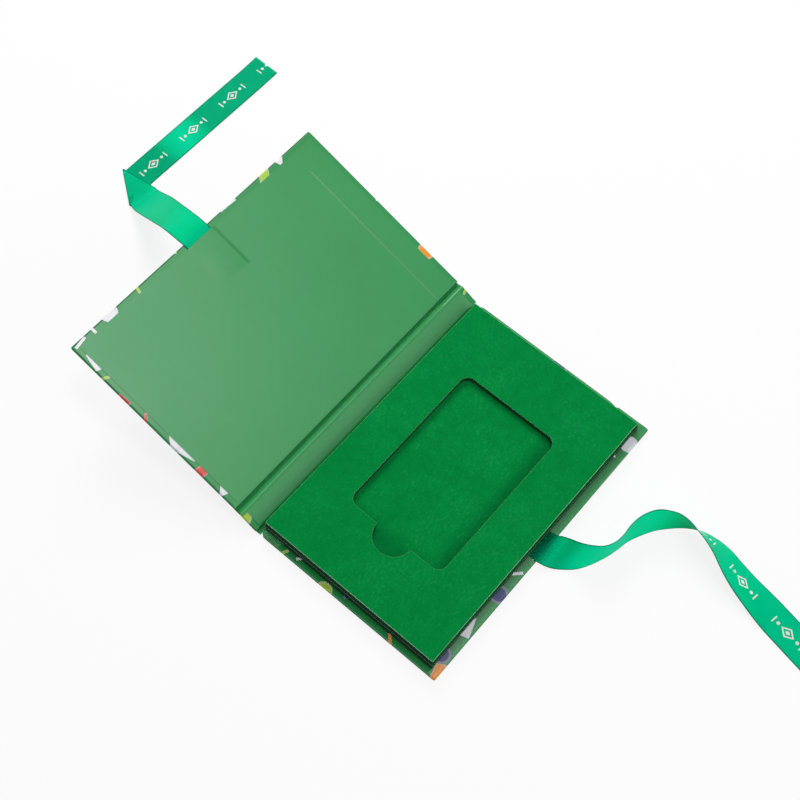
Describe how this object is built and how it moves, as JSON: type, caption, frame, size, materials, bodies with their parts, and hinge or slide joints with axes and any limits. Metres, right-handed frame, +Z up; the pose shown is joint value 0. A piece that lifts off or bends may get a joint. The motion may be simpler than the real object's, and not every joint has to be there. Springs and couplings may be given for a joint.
{
  "type": "card presentation box",
  "caption": "Book-style rigid gift-card box, open: board case in printed paper, flocked foam insert with a card window and thumb notch, and a satin ribbon on each cover.",
  "frame": {"origin": "centre of the base board's underside, on the table", "axes": "+X from the spine to the base's fore edge, +Y along the spine, +Z up, square to the base board"},
  "size_m": [0.4411, 0.2032, 0.0456],
  "materials": {
    "greyboard": "matte",
    "printed_paper": "gloss",
    "lining_paper": "matte",
    "foam": "matte",
    "flock": "matte",
    "ribbon": "satin"
  },
  "bodies": {
    "base": {"base_board": "greyboard", "base_wrap": "printed_paper", "insert_lower_foam": "foam", "well_flock": "flock", "insert_upper_foam": "foam", "top_flock": "flock", "base_ribbon": "ribbon", "base_fold_wrap": "printed_paper", "base_fold_lining": "lining_paper"},
    "spine": {"spine_board": "greyboard", "spine_wrap": "printed_paper", "spine_lining": "lining_paper", "lid_fold_wrap": "printed_paper", "lid_fold_lining": "lining_paper"},
    "lid": {"lid_board": "greyboard", "lid_wrap": "printed_paper", "lid_lining": "lining_paper", "lid_ribbon": "ribbon"}
  },
  "joints": [
    {"name": "spine_hinge", "type": "hinge", "parent": "base", "child": "spine", "pos_m": [-0.0552, 0, 0.0001], "axis": [0, 1, 0], "range_deg": [0, 62], "deforming": ["base_fold_wrap", "base_fold_lining"]},
    {"name": "lid_hinge", "type": "hinge", "parent": "spine", "child": "lid", "pos_m": [-0.06562, 0, 0.00564], "axis": [0, 1, 0], "range_deg": [0, 98], "deforming": ["lid_fold_wrap", "lid_fold_lining"]}
  ]
}
